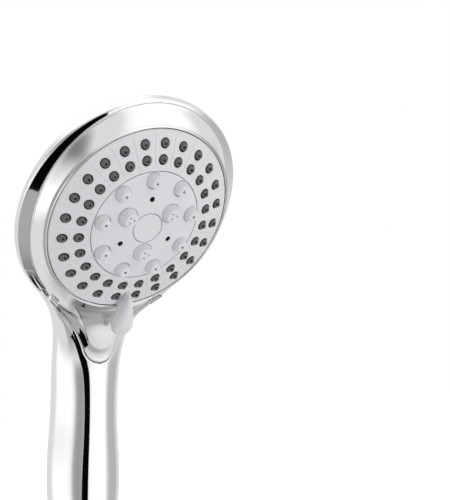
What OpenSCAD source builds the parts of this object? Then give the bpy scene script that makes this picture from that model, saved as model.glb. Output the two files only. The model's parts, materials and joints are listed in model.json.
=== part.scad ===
// Handheld shower head with a turning spray face.
// Frame: +Z runs up the lower handle, -Y is the way the face looks, and the
// origin is the centre of the inlet thread's end face. Sizes are millimetres.

/* [Head] */
// Outer radius of the head at its rim
rim_r = 53.7; // [51:0.1:56]
// Height of the straight band round the rim
band_h = 5.2; // [4:0.1:7]
// Depth of the rear dome behind the band
dome_h = 20.6; // [18:0.1:26]
// Width of the front cover's sloping bezel, measured along the radius
bezel_w = 9.7; // [8:0.1:12]
// Rise of the bezel from the rim to the face opening
bezel_h = 7.6; // [5:0.1:9]
// Width of the shell's flat front lip at the sides of the head
lip_w = 5.2; // [4:0.1:6]
// Angle between the spray face and the lower handle
tilt = 26.5; // [18:0.5:32]
// Distance of the face's centre in front of the handle's axis
face_y = 48; // [42:0.5:56]
// Height of the face's centre above the inlet
face_z = 185; // [170:1:222]

/* [Handle] */
// Height at which the straight grip ends and the neck begins
neck_z = 118; // [110:1:125]
// Height of the chrome shell's lower end above the inlet face
shell_z = 12; // [10:0.5:16]
// Radius of the round lower end
end_r = 12; // [11.8:0.1:14]
// Half width of the grip at its broadest
grip_w = 17.3; // [15:0.1:21]
// Half depth of the grip at its deepest
grip_d = 13.7; // [12.5:0.1:16.5]
// Wall of the chrome shells
wall = 2.4; // [2:0.1:3]
// Gap along the seam between shell and cover
seam = 0.12; // [0.08:0.01:0.3]

/* [Tongue] */
// How far down from the face's centre the cover's tongue ends
tongue_end = 73.6; // [68:0.1:80]
// Radius of the tongue's rounded end
tongue_w = 8; // [6.5:0.1:9.5]

/* [Spray face] */
// Radius of curvature of the domed face
crown_r = 106; // [90:1:140]
// Height of the face's middle above the outer nozzle ring
crown_h = 7; // [6:0.1:8.4]
// Thickness of the face mouldings
face_t = 2.4; // [2:0.1:3]
// Running gap between the turning face and the cover
face_gap = 0.3; // [0.25:0.05:0.5]
// Nozzles in each of the two rings
nozzle_n = 24; // [20:1:28]
// Distance from the face's edge to the outer nozzle ring
outer_inset = 5.7; // [5:0.1:7]
// Distance between the two nozzle rings
ring_step = 6.8; // [6:0.1:8]
// Radius of a nozzle at the face
nozzle_r = 2; // [1.6:0.05:2.2]
// How far a nozzle stands proud of the face
nozzle_h = 1.3; // [1:0.1:1.6]
// Radius of a nozzle's jet hole
jet_r = 0.45; // [0.3:0.05:0.6]
// Angle of the selector lever from the handle's plane
rest_turn = 4.65; // [-10:0.05:10]
// Angle between two spray settings
setting_step = 24; // [20:1:28]

/* [Centre jets] */
// Small cones round the centre
mist_n = 9; // [7:1:9]
// Radius of the small cones' ring
mist_ring = 22.2; // [21.8:0.1:22.4]
// Base radius of a small cone
mist_base = 3.5; // [3:0.1:3.6]
// Tip radius of a small cone
mist_tip = 2; // [1.6:0.1:2.4]
// Height of a small cone above the face
mist_h = 3.7; // [3:0.1:4.5]
// Radius of the large cones' ring
massage_ring = 12.2; // [12:0.1:12.4]
// Base radius of a large cone
massage_base = 4.3; // [3.8:0.1:4.6]
// Tip radius of a large cone
massage_tip = 3; // [2.6:0.1:3.4]
// Height of a large cone above the face
massage_h = 3.4; // [2.8:0.1:4]
// Radius of the cap over the centre screw
cap_r = 7; // [6.4:0.1:7.2]

/* [Inlet] */
// Major radius of the G 1/2 inlet thread
thread_r = 10.478; // [10.2:0.001:10.6]
// Pitch of the inlet thread
thread_pitch = 1.814; // [1.5:0.001:2]
// Ridges on the inlet thread
thread_turns = 6; // [4:1:6]
// Radius of the water way
bore_r = 4.2; // [3.5:0.1:5]
// Outer radius of the water tube
tube_r = 5; // [4.8:0.1:5.2]

/* [Hidden] */
// How far the neck's back is hollowed between the handle and the dome
neck_dip = 6.8;
$fn = 64;

// Levels along the face's axis, all measured from the outer nozzle ring
lip_z = -2.2;
seam_z = lip_z - bezel_h;
ridge_z = seam_z - band_h;
opening_r = rim_r - bezel_w;
plate_r = opening_r - face_gap;
outer_ring = plate_r - outer_inset;
inner_ring = outer_ring - ring_step;
disc_r = inner_ring - 5;
join_share = 0.5587;
join_v = -join_share * rim_r;
join_turn = acos(-join_share);
seam_a = rim_r - lip_w;
seam_b = rim_r - 0.7;
over = 0.01;

// Smooth curve through a short table of [place, value] rows
function row_at(x, t, i = 0) = (i >= len(t) - 2 || x < t[i + 1][0]) ? i : row_at(x, t, i + 1);
function slope(t, i) =
    let(lo = max(0, i - 1), hi = min(len(t) - 1, i + 1))
    (t[hi][1] - t[lo][1]) / (t[hi][0] - t[lo][0]);
function curve(x, t) =
    let(
        i = row_at(x, t),
        h = t[i + 1][0] - t[i][0],
        u = min(1, max(0, (x - t[i][0]) / h))
    )
    (2 * u^3 - 3 * u^2 + 1) * t[i][1] + (u^3 - 2 * u^2 + u) * h * slope(t, i)
    + (3 * u^2 - 2 * u^3) * t[i + 1][1] + (u^3 - u^2) * h * slope(t, i + 1);
function mix(a, b, k) = a + (b - a) * k;
function face_level(r) = crown_h - crown_r + sqrt(crown_r^2 - r^2);

// Dome's depth along its middle, as shares of the rim's radius and the dome's depth
dome_line = [[-0.56, 0.99], [-0.25, 1.03], [0.03, 0.99], [0.33, 0.825], [0.65, 0.515], [1, 0]];
// Grip from its lower end (0) to the neck (1)
grip_width = [[0, end_r], [0.22, end_r + 1.4], [0.42, grip_w - 0.4], [0.52, grip_w],
    [0.62, grip_w - 0.3], [0.74, grip_w - 1.3], [0.87, grip_w - 1.8], [1, grip_w - 1.2]];
grip_front = [[0, end_r], [0.22, end_r + 1.2], [0.42, grip_d], [0.74, grip_d - 0.1], [1, grip_d + 0.3]];
grip_back = [[0, end_r], [0.22, end_r + 1.2], [0.42, grip_d - 0.2], [0.62, grip_d],
    [0.74, grip_d - 0.3], [0.87, grip_d - 1.2], [1, grip_d - 2.7]];
// Neck from the grip (0) to the head (1): how far its width has opened towards the rim
neck_open = [[0, 0], [0.15, 0.018], [0.3, 0.06], [0.42, 0.14], [0.53, 0.25], [0.7, 0.5],
    [0.83, 0.76], [1, 1]];
neck_front = [[0, 0], [0.15, -0.35], [0.3, -0.6], [0.42, 0.1], [0.53, 1], [0.7, 0.5], [0.83, 0.2], [1, 0]];
neck_ridge = [[0, 0.5], [0.3, 0.42], [0.6, 0.3], [1, band_h / (band_h + dome_h * 0.99)]];
neck_hollow = [[0, 0], [0.3, 0.1], [0.6, 0.45], [1, 1]];

// Point of the head's middle plane as [y, z] of the object
function head_point(v, n) = [
    -face_y - v * sin(tilt) - n * cos(tilt),
    face_z + v * cos(tilt) - n * sin(tilt)
];
// The neck is a fan of ribs round this point
fan = let(p = head_point(join_v, 0)) [p[0] - (p[1] - neck_z) / tan(tilt), neck_z];
fan_front = norm(head_point(join_v, seam_z) - fan);
fan_back = norm(head_point(join_v, ridge_z - dome_h * 0.99) - fan);

// A rib is [y, z, angle, front, ridge, back, half width, front roundness, back roundness]
function head_rib(turn, t) =
    let(
        v = (rim_r - t) * cos(turn),
        p = head_point(v, 0),
        deep = dome_h * curve(v / (rim_r - t), dome_line)
    )
    [p[0], p[1], tilt, t - seam_z, -ridge_z, -ridge_z + deep - t, (rim_r - t) * sin(turn), 0, 0];
function neck_rib(f, t) =
    let(
        near = mix(-fan[0] - curve(1, grip_front), fan_front, f) + curve(f, neck_front),
        far = mix(-fan[0] + curve(1, grip_back), fan_back, f) - neck_dip * f * (1 - f),
        wide = mix(curve(1, grip_width), rim_r * sqrt(1 - join_share^2), curve(f, neck_open))
    )
    [fan[0], fan[1], tilt * f, near + t, mix(near, far, curve(f, neck_ridge)), far - t, wide - t,
        1 - min(1, max(0, (f - 0.35) / 0.5)), 1 - curve(f, neck_hollow)];
function grip_rib(q, t) =
    let(z = mix(shell_z, neck_z, q), near = -curve(q, grip_front), far = curve(q, grip_back))
    [0, z, 0, near + t, (near + far) / 2, far - t, curve(q, grip_width) - t, 1, 1];

columns = 36;
corner = 30;
// Section point at an angle round a rib, as [x, distance along the rib]
function section(rib, a) =
    a <= 180
        ? [rib[6] * cos(a), rib[4] + (rib[5] - rib[4]) * pow(sin(a), 2 - rib[8])]
        : let(
            b = a - 180,
            along = (b - corner) / (180 - 2 * corner),
            flat_x = rib[6] * (2 * min(1, max(0, along)) - 1),
            down = min(1, min(b, 180 - b) / corner)
        )
        [mix(flat_x, rib[6] * cos(a), rib[7]), mix(rib[4], rib[3], mix(down, sin(b), rib[7]))];
function rib_points(rib) = [
    for (j = [0 : columns - 1])
        let(s = section(rib, j * 360 / columns))
        [s[0], rib[0] + s[1] * cos(rib[2]), rib[1] + s[1] * sin(rib[2])]
];

// The object's smooth outer skin, or its inside when inset by t and ended at height q0
module skin(t, q0) {
    head = [for (i = [0 : 20]) head_rib(mix(2, join_turn, i / 20), t)];
    neck = [for (i = [1 : 12]) neck_rib(1 - i / 12, t)];
    grip = [for (i = [1 : 12]) grip_rib(mix(1, q0, i / 12), t)];
    ribs = concat(head, neck, grip);
    last = (len(ribs) - 1) * columns;
    polyhedron(
        points = [for (rib = ribs) each rib_points(rib)],
        faces = concat(
            [[for (j = [columns - 1 : -1 : 0]) j]],
            [
                for (i = [0 : len(ribs) - 2])
                    for (j = [0 : columns - 1])
                        let(a = i * columns, k = (j + 1) % columns)
                        each [[a + j, a + k, a + columns + j], [a + k, a + columns + k, a + columns + j]]
            ],
            [[for (j = [0 : columns - 1]) last + j]]
        )
    );
}

// Places children in the head's frame: +Z out of the face, +Y to 12 o'clock
module in_head() {
    translate([0, -face_y, face_z]) rotate([90 + tilt, 0, 0]) children();
}

// As in_head, turned with the spray face
module in_face() {
    in_head() rotate([0, 0, rest_turn]) children();
}

module ring_of(count, radius, first = 90) {
    for (i = [0 : count - 1])
        rotate([0, 0, first + i * 360 / count]) translate([radius, 0, 0]) children();
}

module tube(outer, inner, low, high) {
    translate([0, 0, low]) difference() {
        cylinder(r = outer, h = high - low);
        translate([0, 0, -1]) cylinder(r = inner, h = high - low + 2);
    }
}

module o_ring(ring_r, cord_r) {
    rotate_extrude() translate([ring_r, 0]) circle(r = cord_r, $fn = 32);
}

// Wire wound round +Z between two levels
module coil(coil_r, wire_r, low, high, turns) {
    steps = 14;
    sides = 6;
    count = turns * steps;
    polyhedron(
        points = [
            for (i = [0 : count])
                for (j = [0 : sides - 1])
                    let(
                        a = i * 360 / steps,
                        b = j * 360 / sides,
                        r = coil_r + wire_r * cos(b),
                        z = mix(low + wire_r, high - wire_r, i / count) + wire_r * sin(b)
                    )
                    [r * cos(a), r * sin(a), z]
        ],
        faces = concat(
            [[for (j = [sides - 1 : -1 : 0]) j]],
            [
                for (i = [0 : count - 1])
                    for (j = [0 : sides - 1])
                        let(a = i * sides, k = (j + 1) % sides)
                        each [[a + j, a + k, a + sides + j], [a + k, a + sides + k, a + sides + j]]
            ],
            [[for (j = [0 : sides - 1]) count * sides + j]]
        )
    );
}

/* Levels of the works inside the head */
skirt_z = -11.5;
skirt_t = 2.4;
plate_fit = plate_r - skirt_t - 0.05;
post_r = 6;
post_z = -9.4;
screw_r = 2;
hub_r = 4.9;
hub_z = 1.3;
divider_z = -6.2;
divider_t = 1.8;
channel_z = divider_z - divider_t - 0.1;
channel_t = 4.4;
back_z = channel_z - channel_t;
manifold_z = back_z - 1.6;
manifold_t = 3.2;
manifold_r = disc_r + 10.8;
boss_ring = manifold_r - 5.2;
port_ring = 15;
port_r = 2.6;
detent_ring = manifold_r - 3.8;
detent_r = 1.5;
detent_lift = 0.5;
socket_n = -20.9;
socket_v = -disc_r - 9;
socket_r = tube_r + 2.6;
backing_z = -0.4;
backing_t = 1.5;

/* Where the tongue of the front cover lies, in the head's frame */
tongue_top = -rim_r + 16.5;
tongue_side = [[0.86 * tongue_w, 4 - tongue_end], [tongue_w + 0.9, 7.7 - tongue_end],
    [tongue_w + 3, 11.4 - tongue_end], [tongue_w + 5.7, -rim_r - 4.5], [tongue_w + 9.7, -rim_r - 0.1],
    [tongue_w + 16.7, -rim_r + 6.2], [tongue_w + 24.6, -rim_r + 14.5], [tongue_w + 25.8, tongue_top]];
// Depth of its side seam below the face, from the head's edge to the neck
tongue_depth = [[tongue_top, seam_z], [8 - rim_r, seam_z - 0.9], [2 - rim_r, seam_z - 1.5],
    [-10 - rim_r, seam_z - 2.1], [-tongue_end - 6, seam_z - 2.4]];

module tongue_zone(grow) {
    outline = concat(
        [for (p = tongue_side) [p[0] + grow, p[1]]],
        [for (i = [len(tongue_side) - 1 : -1 : 0]) [-tongue_side[i][0] - grow, tongue_side[i][1]]]
    );
    intersection() {
        rotate([90, 0, 90]) linear_extrude(height = 2 * rim_r, center = true)
            polygon(concat(
                [[tongue_top, 12]],
                [for (p = tongue_depth) [p[0], p[1] - grow]],
                [[-tongue_end - 6, 12]]
            ));
        translate([0, 0, -20]) linear_extrude(height = 40) union() {
            translate([0, tongue_w - tongue_end]) circle(r = tongue_w + grow);
            polygon(outline);
        }
    }
}

/* Oval disc that the front cover fills, wider upward than across */
module seam_oval(inset, low, high) {
    translate([0, 0, low]) scale([seam_a - inset, seam_b - inset, 1])
        cylinder(r = 1, h = high - low, $fn = 96);
}

module handle_shell() color([0.86, 0.87, 0.88]) {
    difference() {
        resize([0, 0, 0]) union() {
            difference() {
                skin(0, 0);
                skin(wall, 0.2);
                in_head() tongue_zone(seam);
                in_head() seam_oval(-seam, seam_z - wall - 0.5, 20);
            }
            intersection() {
                skin(0.6, 0.1);
                in_head() difference() {
                    ring_of(4, boss_ring, 45)
                        translate([0, 0, -40])
                            cylinder(r = 3.2, h = 40 + manifold_z - manifold_t, $fn = 24);
                    ring_of(4, boss_ring, 45)
                        translate([0, 0, manifold_z - manifold_t - 6.4])
                            cylinder(r = 1.3, h = 10, $fn = 24);
                }
            }
        }
        translate([0, 0, shell_z - 1]) cylinder(r = end_r - 2.6, h = 30);
    }
}

module front_cover() color([0.9, 0.91, 0.92]) {
    in_head() tube(opening_r + 1.2, opening_r, skirt_z + 1.5, lip_z);
    resize([0, 0, 0]) union() {
        in_head() difference() {
            hull() {
                translate([0, 0, lip_z - 0.3]) cylinder(r = opening_r + 0.7, h = 0.3, $fn = 96);
                seam_oval(0, seam_z - wall + 0.2, seam_z);
            }
            hull() {
                translate([0, 0, lip_z - 3]) cylinder(r = opening_r + 0.6, h = 0.3, $fn = 96);
                seam_oval(wall, seam_z - wall - 1, seam_z - wall - 0.9);
            }
            translate([0, 0, -30]) cylinder(r = opening_r + 0.6, h = 60, $fn = 96);
        }
        difference() {
            intersection() {
                skin(0.02, 0.5);
                in_head() tongue_zone(0);
            }
            skin(wall, 0.5);
            in_head() translate([0, 0, -30]) cylinder(r = rim_r - 7, h = 60, $fn = 96);
        }
    }
}

/* The thread is a row of ridges with flat crests, the first one at the end face */
thread_depth = 1.16;
crest = 0.6;

module thread_ridges() {
    root = thread_r - thread_depth;
    for (i = [0 : thread_turns - 1])
        translate([0, 0, i * thread_pitch]) rotate_extrude() polygon([
            [root - 0.2, -0.65], [root, -0.65], [thread_r, -0.1],
            [thread_r, crest - 0.1], [root, crest + 0.45], [root - 0.2, crest + 0.45]
        ]);
}

module inlet_nipple() color([0.75, 0.76, 0.77]) {
    difference() {
        union() {
            cylinder(r = thread_r - thread_depth, h = shell_z + 0.1);
            thread_ridges();
            translate([0, 0, shell_z - 1.9]) cylinder(r = end_r - 1.2, h = 1.9);
            translate([0, 0, shell_z - over]) cylinder(r = end_r - 2.6, h = 20);
        }
        translate([0, 0, -2]) cylinder(r = thread_r + 1, h = 2);
        translate([0, 0, -1]) cylinder(r = 7.8, h = 9);
        translate([0, 0, 5]) cylinder(r = bore_r, h = 40);
        translate([0, 0, shell_z + 8]) cylinder(r = tube_r + 0.05, h = 20);
        translate([0, 0, shell_z + 13]) cylinder(r = tube_r + 1.6, h = 2.4);
    }
}

module inlet_screen() color([0.6, 0.62, 0.64]) {
    difference() {
        union() {
            tube(7.7, 6.4, 0.6, 2.2);
            translate([0, 0, 1.2]) cylinder(r = 6.6, h = 0.5);
        }
        for (i = [-3 : 3])
            for (j = [-3 : 3])
                if (norm([i, j]) < 3.4)
                    translate([i * 1.7, j * 1.7, 0]) cylinder(r = 0.55, h = 3, $fn = 24);
    }
}

module flow_regulator() color([0.55, 0.75, 0.55]) {
    difference() {
        translate([0, 0, 2.6]) cylinder(r = 7.6, h = 5.2);
        translate([0, 0, 4.4]) o_ring(7.15, 1.1);
        translate([0, 0, 5.8]) cylinder(r = 5, h = 4);
        ring_of(6, 3.2) cylinder(r = 0.9, h = 10, $fn = 24);
    }
}

module regulator_seal() color([0.1, 0.1, 0.1]) {
    translate([0, 0, 4.4]) o_ring(6.95, 0.82);
}

/* The water tube runs up the handle, turns at a mitre, and enters the manifold's socket */
socket_in = head_point(socket_v, socket_n);
bend_z = socket_in[1] + socket_in[0] / tan(tilt);
upper_len = norm([socket_in[0], socket_in[1] - bend_z]);
tube_z = shell_z + 8.2;
tube_groove = 1.05;
reach = 30;

// Everything below (side = -1) or above (side = 1) the mitre's plane
module mitre_side(side) {
    translate([0, 0, bend_z]) rotate([tilt / 2, 0, 0])
        translate([-reach, -reach, side > 0 ? 0 : -5 * reach]) cube([2 * reach, 2 * reach, 5 * reach]);
}

module tube_path(r, low, high) {
    intersection() {
        translate([0, 0, tube_z - low]) cylinder(r = r, h = bend_z - tube_z + low + reach / 2);
        mitre_side(-1);
    }
    intersection() {
        in_head() translate([0, socket_v - upper_len - reach / 2, socket_n]) rotate([-90, 0, 0])
            cylinder(r = r, h = upper_len + high + reach / 2);
        mitre_side(1);
    }
}

module water_tube() color([0.93, 0.93, 0.9]) {
    difference() {
        tube_path(tube_r, 0, 7.4);
        tube_path(bore_r - 0.6, 1, 8);
        translate([0, 0, shell_z + 14.2]) o_ring(tube_r + 0.35, tube_groove);
        in_head() translate([0, socket_v + 3.5, socket_n]) rotate([90, 0, 0])
            o_ring(tube_r + 0.35, tube_groove);
    }
}

module tube_lower_seal() color([0.1, 0.1, 0.1]) {
    translate([0, 0, shell_z + 14.2]) o_ring(tube_r + 0.6, 0.85);
}

module tube_upper_seal() color([0.1, 0.1, 0.1]) {
    in_head() translate([0, socket_v + 3.5, socket_n]) rotate([90, 0, 0]) o_ring(tube_r + 0.6, 0.85);
}

module manifold() color([0.3, 0.32, 0.34]) {
    in_head() difference() {
        union() {
            translate([0, 0, manifold_z - manifold_t]) cylinder(r = manifold_r, h = manifold_t);
            translate([0, 0, manifold_z - over]) cylinder(r = post_r, h = post_z - manifold_z);
            translate([0, 0, manifold_z - 8]) cylinder(r = post_r + 1, h = 7);
            translate([0, socket_v, socket_n]) rotate([-90, 0, 0])
                cylinder(r = socket_r, h = -socket_v - port_ring + 6);
            translate([0, detent_ring, manifold_z - 7]) cylinder(r = 3.1, h = 6);
        }
        translate([0, 0, manifold_z - 6.5]) cylinder(r = 1.7, h = 20);
        translate([0, socket_v - 5, socket_n]) rotate([-90, 0, 0]) cylinder(r = tube_r + 0.05, h = 13);
        translate([0, socket_v + 2.3, socket_n]) rotate([-90, 0, 0]) cylinder(r = tube_r + 1.6, h = 2.4);
        translate([0, socket_v, socket_n]) rotate([-90, 0, 0])
            cylinder(r = bore_r - 0.6, h = -socket_v - port_ring);
        translate([0, -port_ring, socket_n]) cylinder(r = 2.6, h = 10);
        translate([0, -port_ring, manifold_z - 3]) cylinder(r = 4, h = 10);
        translate([0, detent_ring, manifold_z - 6]) cylinder(r = detent_r + 0.05, h = 10);
        ring_of(4, boss_ring, 45) translate([0, 0, manifold_z - 10]) cylinder(r = 1.4, h = 20);
        ring_of(4, boss_ring, 45) translate([0, 0, manifold_z - 1.8]) cylinder(r = 2.8, h = 5);
    }
}

module manifold_screws() color([0.7, 0.7, 0.72]) {
    in_head() ring_of(4, boss_ring, 45) difference() {
        union() {
            translate([0, 0, manifold_z - 1.8]) cylinder(r = 2.5, h = 1.7);
            translate([0, 0, manifold_z - manifold_t - 5.5]) cylinder(r = 1.15, h = 8);
        }
        translate([0, 0, manifold_z - 0.9]) cube([0.7, 3, 2], center = true);
        translate([0, 0, manifold_z - 0.9]) cube([3, 0.7, 2], center = true);
    }
}

module port_seal() color([0.12, 0.12, 0.12]) {
    in_head() translate([0, -port_ring, 0]) union() {
        tube(3.9, 2.6, manifold_z - 1.2, back_z - 0.1);
        tube(3.9, 1.9, manifold_z - 1.2, manifold_z - 0.5);
    }
}

module seal_spring() color([0.7, 0.71, 0.72]) {
    in_head() translate([0, -port_ring, 0]) coil(3.3, 0.3, manifold_z - 3, manifold_z - 1.2, 2);
}

module detent_plunger() color([0.75, 0.76, 0.78]) {
    in_head() translate([0, detent_ring, 0]) union() {
        translate([0, 0, manifold_z - 2.2]) cylinder(r = detent_r, h = back_z - 1.2 - manifold_z + 2.2);
        intersection() {
            translate([0, 0, back_z - 0.15 - detent_r]) sphere(r = detent_r);
            translate([0, 0, back_z - 1.2 - over]) cylinder(r = detent_r, h = 3);
        }
    }
}

module detent_spring() color([0.7, 0.71, 0.72]) {
    in_head() translate([0, detent_ring, 0]) coil(1.15, 0.25, manifold_z - 5.98, manifold_z - 2.22, 5);
}

module centre_screw() color([0.7, 0.7, 0.72]) {
    in_head() difference() {
        union() {
            translate([0, 0, manifold_z - 5]) cylinder(r = 1.65, h = post_z - manifold_z + 6);
            translate([0, 0, post_z]) cylinder(r = screw_r, h = hub_z + 0.8 - post_z);
            translate([0, 0, hub_z + 0.75]) cylinder(r = 3.8, h = 2);
        }
        translate([0, 0, hub_z + 2.6]) cube([0.9, 5, 2], center = true);
        translate([0, 0, hub_z + 2.6]) cube([5, 0.9, 2], center = true);
    }
}

module screw_washer() color([0.85, 0.85, 0.86]) {
    in_head() tube(4.7, screw_r + 0.05, hub_z + 0.1, hub_z + 0.7);
}

module channel_plate() color([0.85, 0.86, 0.88]) {
    in_face() difference() {
        translate([0, 0, back_z]) cylinder(r = plate_fit, h = channel_t);
        translate([0, 0, back_z - 1]) cylinder(r = post_r + 0.05, h = channel_t + 2);
        translate([0, 0, back_z + 1]) cylinder(r = post_r + 1.9, h = 2);
        for (i = [-2 : 2])
            rotate([0, 0, i * setting_step - 90 - rest_turn]) {
                translate([port_ring, 0, back_z - 1]) cylinder(r = port_r, h = channel_t + 2);
                rotate([0, 0, 180]) translate([detent_ring, 0, back_z - 1])
                    cylinder(r = detent_r + 0.1, h = 1.9);
            }
        for (i = [0 : 4])
            rotate([0, 0, 12 + i * 72]) translate([disc_r + 2, -3, back_z + 2]) cube([10, 6, 4]);
    }
}

module rotor_seal() color([0.1, 0.1, 0.1]) {
    in_face() translate([0, 0, back_z + 2]) o_ring(post_r + 0.93, 0.88);
}

module divider_plate() color([0.88, 0.89, 0.9]) {
    in_face() difference() {
        union() {
            translate([0, 0, divider_z - divider_t]) cylinder(r = plate_fit, h = divider_t);
            translate([0, 0, divider_z - over]) cylinder(r = hub_r, h = hub_z - divider_z);
            tube(disc_r - 7.6, disc_r - 8.8, divider_z - over, backing_z);
            tube(disc_r + 0.6, disc_r - 0.6, divider_z - over, backing_z);
        }
        translate([0, 0, divider_z - 5]) cylinder(r = screw_r + 0.08, h = 20);
        ring_of(6, hub_r + 4.5) translate([0, 0, divider_z - 5]) cylinder(r = 1.6, h = 6);
        ring_of(9, mist_ring) translate([0, 0, divider_z - 5]) cylinder(r = 1.4, h = 6);
        ring_of(12, (disc_r + outer_ring) / 2 + 2) translate([0, 0, divider_z - 5])
            cylinder(r = 1.8, h = 6);
    }
}

rotor_r = disc_r - 9.2;

module massage_rotor() color([0.9, 0.9, 0.88]) {
    in_face() difference() {
        union() {
            tube(rotor_r, hub_r + 0.05, -2.6, -1.2);
            tube(hub_r + 1.6, hub_r + 0.05, -5.4, -1.2);
            for (i = [0 : 7])
                rotate([0, 0, i * 45]) translate([hub_r + 1, -0.5, -5.4])
                    cube([rotor_r - hub_r - 1.6, 1, 3]);
        }
        rotate_extrude(angle = 150) translate([massage_ring - 2.6, -3])
            square([rotor_r - massage_ring + 1.2, 2.5]);
    }
}

module nozzle_places() {
    for (ring = [outer_ring, inner_ring])
        ring_of(nozzle_n, ring, 90 + 180 / nozzle_n) translate([0, 0, face_level(ring)]) children();
}

module crown(depth, outer, inner) {
    intersection() {
        translate([0, 0, crown_h - crown_r]) difference() {
            sphere(r = crown_r - depth);
            sphere(r = crown_r - depth - face_t);
        }
        tube(outer, inner, -20, 20);
    }
}

module nozzle_mat() color([0.32, 0.33, 0.35]) {
    in_face() difference() {
        union() {
            intersection() {
                translate([0, 0, crown_h - crown_r]) difference() {
                    sphere(r = crown_r - face_t - 0.02);
                    sphere(r = crown_r - face_t - 1.4);
                }
                tube(plate_r - skirt_t - 0.2, disc_r + 1.9, -20, 20);
            }
            nozzle_places() translate([0, 0, -face_t - 0.6]) cylinder(r = nozzle_r, h = face_t + 0.6);
            nozzle_places() translate([0, 0, -over])
                cylinder(r1 = nozzle_r, r2 = nozzle_r * 0.62, h = nozzle_h);
        }
        nozzle_places() translate([0, 0, -9]) cylinder(r = jet_r, h = 12);
    }
}

module face_plate() color([0.87, 0.88, 0.9]) {
    in_face() difference() {
        union() {
            crown(0, plate_r, disc_r + 0.1);
            tube(plate_r, plate_r - skirt_t, skirt_z, face_level(plate_r) - 0.3);
            tube(disc_r + 1.7, disc_r + 0.1, backing_z + 0.05, face_level(disc_r) - 1);
        }
        nozzle_places() translate([0, 0, -9]) cylinder(r = nozzle_r + 0.15, h = 14);
        for (i = [0 : nozzle_n - 1])
            rotate([0, 0, 90 + i * 360 / nozzle_n])
                translate([disc_r + 2, -0.3, 0]) rotate([0, atan((outer_ring) / crown_r) * 0.9, 0])
                    translate([0, 0, face_level(disc_r + 2) - 0.25]) cube([plate_r - disc_r - 4, 0.6, 3]);
    }
}

module centre_disc() color([0.87, 0.88, 0.9]) {
    in_face() difference() {
        crown(0, disc_r, cap_r + 0.1);
        ring_of(mist_n, mist_ring) translate([0, 0, -9]) cylinder(r = mist_base + 0.2, h = 30);
        ring_of(3, massage_ring, 30) translate([0, 0, -9]) cylinder(r = massage_base + 0.2, h = 30);
        ring_of(3, massage_ring + 1.6) translate([0, 0, -9]) cylinder(r = 1.2, h = 30);
    }
}

cap_z = crown_h - 1.8;
cap_skirt = 2;

module jet_cone(ring, base, tip, high) {
    foot = backing_z + backing_t - 0.2;
    translate([0, 0, foot]) cylinder(r = base, h = face_level(ring) - foot);
    translate([0, 0, face_level(ring) - over]) cylinder(r1 = base, r2 = tip, h = high);
}

module mist_jets() color([0.87, 0.88, 0.9]) {
    in_face() difference() {
        union() {
            tube(disc_r - 0.7, disc_r - 7.5, backing_z, backing_z + backing_t);
            ring_of(mist_n, mist_ring) jet_cone(mist_ring, mist_base, mist_tip, mist_h);
        }
        ring_of(mist_n, mist_ring) translate([0, 0, backing_z - 1]) cylinder(r = 2.3, h = 6);
        ring_of(mist_n, mist_ring) cylinder(r = jet_r, h = 20);
    }
}

module swirl_inserts() color([0.4, 0.55, 0.7]) {
    in_face() ring_of(mist_n, mist_ring) difference() {
        translate([0, 0, backing_z + 0.4]) cylinder(r = 2.25, h = 3.4);
        for (s = [-1, 1])
            translate([s * 2, 0, 1]) rotate([s * 30, 0, 0]) cube([1.4, 0.9, 12], center = true);
    }
}

module massage_jets() color([0.87, 0.88, 0.9]) {
    in_face() difference() {
        union() {
            tube(disc_r - 9, cap_r + 0.5, backing_z, backing_z + backing_t);
            ring_of(3, massage_ring, 30) jet_cone(massage_ring, massage_base, massage_tip, massage_h);
        }
        ring_of(3, massage_ring, 30) translate([0, 0, backing_z - 1]) cylinder(r = 2.9, h = 7);
        ring_of(3, massage_ring, 30) ring_of(3, 1.4, 0) cylinder(r = jet_r, h = 20);
    }
}

module centre_cap() color([0.88, 0.89, 0.91]) {
    in_face() rotate_extrude() polygon(concat(
        [[0, cap_z], [cap_r - 1, cap_z], [cap_r - 1, cap_z - cap_skirt], [cap_r, cap_z - cap_skirt]],
        [for (i = [8 : -1 : 0]) [cap_r * i / 8, face_level(cap_r * i / 8)]]
    ));
}

/* The lever is a leaf that hangs from the face's edge, with a finger hook behind */
module lever_ball(x, down, n, r) {
    for (s = [-1, 1])
        translate([s * x, -plate_r - down, n]) sphere(r = r, $fn = 20);
}

module selector_lever() color([0.86, 0.87, 0.89]) {
    in_face() difference() {
        union() {
            hull() {
                lever_ball(0.1, -8.2, 0.8, 0.8);
                lever_ball(1.2, 0.6, 3.8, 2);
                lever_ball(1.2, 0.6, -0.2, 1.5);
                lever_ball(2.2, 7.2, 3.9, 2.2);
                lever_ball(2.2, 7.6, -0.3, 2);
                lever_ball(1.5, 10.4, 2.6, 2.2);
                lever_ball(1.5, 10.8, 0.1, 2);
            }
            hull() {
                lever_ball(0.9, 9.2, 0, 1.8);
                lever_ball(0.9, 10.2, -2.6, 1.7);
            }
        }
        intersection() {
            translate([0, 0, crown_h - crown_r]) sphere(r = crown_r);
            translate([0, 0, -20]) cylinder(r = plate_r + 0.02, h = 60);
        }
    }
}

handle_shell();
front_cover();
inlet_nipple();
inlet_screen();
flow_regulator();
regulator_seal();
water_tube();
tube_lower_seal();
tube_upper_seal();
manifold();
manifold_screws();
port_seal();
seal_spring();
detent_spring();
detent_plunger();
centre_screw();
screw_washer();
channel_plate();
rotor_seal();
divider_plate();
massage_rotor();
nozzle_mat();
face_plate();
centre_disc();
mist_jets();
swirl_inserts();
massage_jets();
centre_cap();
selector_lever();
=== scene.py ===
"""Handheld shower head: smooth chrome skins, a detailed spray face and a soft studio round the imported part."""

import json
import math

import bmesh
import bpy
import numpy as np
from mathutils import Euler, Matrix, Vector
from mathutils.geometry import delaunay_2d_cdt


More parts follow.
